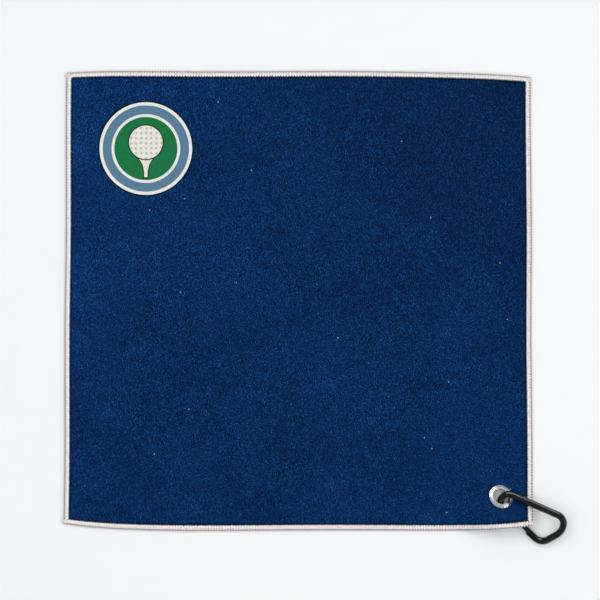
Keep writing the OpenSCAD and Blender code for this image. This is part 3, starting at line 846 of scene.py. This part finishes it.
def ring_line():
    """Centre line of the rod, from behind the hinge round to the lip, and where the step in the nose is."""
    first = bend((SPINE_L, NARROW_R), WIDE_R[0], 0, TURN_A)
    second = bend(first[-1], WIDE_R[1], TURN_A, TURN_B)
    last_at_zero = bend((0, 0), WIDE_R[2], TURN_B, -180 - SPREAD)
    ahead = heading(TURN_B)
    gap = second[-1] + last_at_zero[-1] - GATE_START
    run = -(gap @ GATE_IN) / (ahead @ GATE_IN)
    third = bend(second[-1] + run * ahead, WIDE_R[2], TURN_B, -180 - SPREAD)
    step = (third[-1] - GATE_START) @ GATE_DIR + STEP_ON
    shoulder = PIVOT_X - GATE_R - SHOULDER_GAP
    line = [GATE_START + shoulder * GATE_DIR] + bend(GATE_START, NARROW_R, 180 - SPREAD, 0, 40)
    line += first + second[1:] + third + [GATE_START + (step - LIP_L) * GATE_DIR]
    return line, step


def laid(narrow_z):
    """The carabiner's plane as it lies, narrow_z being the height of the middle of its narrow end."""
    turn = (
        Matrix.Rotation(math.radians(SPINE_DIR), 4, "Z")
        @ Matrix.Rotation(math.radians(-SPINE_SLOPE), 4, "Y")
        @ Matrix.Rotation(math.radians(SPINE_ROLL), 4, "X")
    )
    at = Vector((EYELET.x + NARROW_AT[0] * MM, EYELET.y + NARROW_AT[1] * MM, narrow_z))
    return Matrix.Translation(at) @ turn @ Matrix.Scale(MM, 4)


def gate_line(x, y=0.0):
    """A place on the gate's own axis, x along it from the narrow bend and y into the carabiner."""
    at = GATE_START + x * GATE_DIR + y * GATE_IN
    return Matrix.Translation((at[0], at[1], 0)) @ Matrix.Rotation(math.radians(-SPREAD), 4, "Z")


def block(matrix, low, high):
    """A plain block, to cut with or to add."""
    bpy.ops.object.select_all(action="DESELECT")
    bpy.ops.mesh.primitive_cube_add(size=1)
    cutter = bpy.context.object
    rows = points_of(cutter) + 0.5
    put_points(cutter, np.array(low) + rows * (np.array(high) - np.array(low)))
    return place(cutter, matrix)


def round_bar(matrix, radius, length, along="Z", sides=48):
    """A plain round bar starting at the matrix's origin."""
    bpy.ops.object.select_all(action="DESELECT")
    bpy.ops.mesh.primitive_cylinder_add(vertices=sides, radius=radius, depth=length)
    bar = bpy.context.object
    lift = Matrix.Translation((0, 0, length / 2))
    turn = Matrix.Rotation(math.radians(90), 4, "Y") if along == "X" else Matrix.Identity(4)
    return place(bar, matrix @ turn @ lift)


def cut(obj, *cutters, operation="DIFFERENCE"):
    """Takes the cutters away from obj one by one, or adds them to it."""
    for cutter in cutters:
        boolean = obj.modifiers.new("cut", "BOOLEAN")
        boolean.operation = operation
        boolean.solver = "EXACT"
        boolean.object = cutter
        apply_all(obj)
        bpy.data.objects.remove(cutter)
    return obj


def soften(obj, width, degrees=38):
    """Breaks the sharp edges as tumbling does."""
    bevel = obj.modifiers.new("edges", "BEVEL")
    bevel.width = width
    bevel.segments = 2
    bevel.limit_method = "ANGLE"
    bevel.angle_limit = math.radians(degrees)
    return apply_all(obj)


# The milled flats: from and to along the spine, depth, and how far their ends slant across it
FLAT_FROM, FLAT_TO, FLAT_DEPTH = 12.5, 27.5, 1.15
FLAT_SLANT = 2.2
TONGUE_R, TONGUE_ROOT_L, TONGUE_TIP = 2.0, 4.5, 1.7
PIVOT_HOLE_R, LIP_GAP, EDGE_BREAK = 0.8, 0.25, 0.16


def flats_cutter(side):
    """Cuts one flat on the spine, with slanting ends."""
    depth = 2 * ROD_R
    low = (FLAT_FROM, NARROW_R - ROD_R - 1, ROD_R - FLAT_DEPTH)
    cutter = block(Matrix.Identity(4), low, (FLAT_TO, NARROW_R + ROD_R + 1, ROD_R - FLAT_DEPTH + depth))
    rows = points_of(cutter)
    rows[:, 0] -= (rows[:, 1] - NARROW_R) / ROD_R * FLAT_SLANT
    rows[:, 0] += np.where(rows[:, 0] < (FLAT_FROM + FLAT_TO) / 2, -1, 1) * (rows[:, 2] - ROD_R) * 0.5
    put_points(cutter, rows)
    if side < 0:
        place(cutter, Matrix.Diagonal((1, 1, -1, 1)))
        edit(cutter, outward)
    return cutter


def make_tongue():
    """The flat tongue at the rod's end that the gate's slot goes over."""
    hinge = gate_line(PIVOT_X, GATE_OFFSET)
    half = TONGUE_T / 2
    tongue = round_bar(hinge @ Matrix.Translation((0, 0, -half)), TONGUE_R, TONGUE_T)
    root = block(hinge, (-TONGUE_ROOT_L, -TONGUE_R, -half), (0.0, TONGUE_R, half))
    cut(tongue, root, operation="UNION")
    return cut(tongue, block(hinge, (TONGUE_TIP, -5, -3), (6, 5, 3)))


def make_body(black):
    """The bent rod with its tongue, flats, step in the nose, lip and rivet hole."""
    line, step = ring_line()
    body = thread_tube([(x, y, 0) for x, y in line], ROD_R, 40)
    close_ends(body)
    edit(body, outward)

    cut(body, make_tongue(), operation="UNION")
    lip = step - LIP_L
    hinge = gate_line(PIVOT_X, GATE_OFFSET)
    cut(
        body,
        flats_cutter(1), flats_cutter(-1),
        round_bar(gate_line(lip - 1, GATE_OFFSET), GATE_R + LIP_GAP, LIP_L + 1, "X", 40),
        block(gate_line(lip - 1), (0, -1, -6), (LIP_L + 1, 5, 6)),
        round_bar(hinge @ Matrix.Translation((0, 0, -3)), PIVOT_HOLE_R, 6, "Z", 32),
    )
    edit(body, lambda: weld(1e-3))
    soften(body, EDGE_BREAK)

    # It lies as its CAD shape does: same lean, same lowest point
    place(body, laid(0))
    rows = points_of(body)
    rows[:, 2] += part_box("carabiner_body")[0].z - rows[:, 2].min()
    put_points(body, rows)
    ready(smooth(body, 32), "carabiner_ring", black, "carabiner", "black_anodised", "carabiner_body")


def fair_copy(node, name, material, body, slot, degrees=32):
    """A piece whose CAD shape is right already: the same mesh, joined up and smoothed."""
    copy = frame["nodes"][node].copy()
    copy.data = copy.data.copy()
    copy.parent = None
    for key in list(copy.keys()):
        del copy[key]
    bpy.context.scene.collection.objects.link(copy)
    copy.data.transform(Matrix.Scale(1 / MM, 4))
    edit(copy, lambda: weld(2e-3))
    copy.data.transform(Matrix.Scale(MM, 4))
    return ready(smooth(copy, degrees), name, material, body, slot, node)


def make_carabiner(black, steel):
    """The rod anew, fair copies of the moving pieces, and the CAD's own spring in steel."""
    make_body(black)
    fair_copy("gate", "gate_arm", black, "gate", "black_anodised")
    fair_copy("pivot_rivet", "hinge_rivet", steel, "gate", "steel")
    fair_copy("spring_plunger", "plunger", steel, "plunger", "steel")
    frame["nodes"]["gate_spring"].data.materials.clear()
    frame["nodes"]["gate_spring"].data.materials.append(steel)


def make_floor():
    bpy.ops.mesh.primitive_plane_add(size=FLOOR_SIZE, location=(0, 0, FLOOR_Z))
    floor = bpy.context.object
    floor.name = "floor"
    floor.data.materials.append(pale_floor())
    place(floor, floor.matrix_world.copy())
    return floor


make_camera()
make_studio()
floor = make_floor()
silver = plated_silver("nickel_plate", (0.97, 0.97, 0.98), 0.24)
steel = plated_silver("bright_steel", (0.62, 0.62, 0.64), 0.28)
# Painted shade: the looper thread is given a greyer white than the needle thread, for the shade over the
# dense looper band
looper_white = overlock_thread("looper_thread_white", rgb(238, 233, 232), rgb(196, 190, 188))
needle_white = overlock_thread("needle_thread_white", rgb(253, 252, 250), rgb(228, 226, 222))
cloth = make_cloth(navy_microfibre())
rim = make_rim(looper_white, needle_white)
tails = make_tails(looper_white)
make_eyelet(silver)
make_carabiner(black_anodised(), steel)
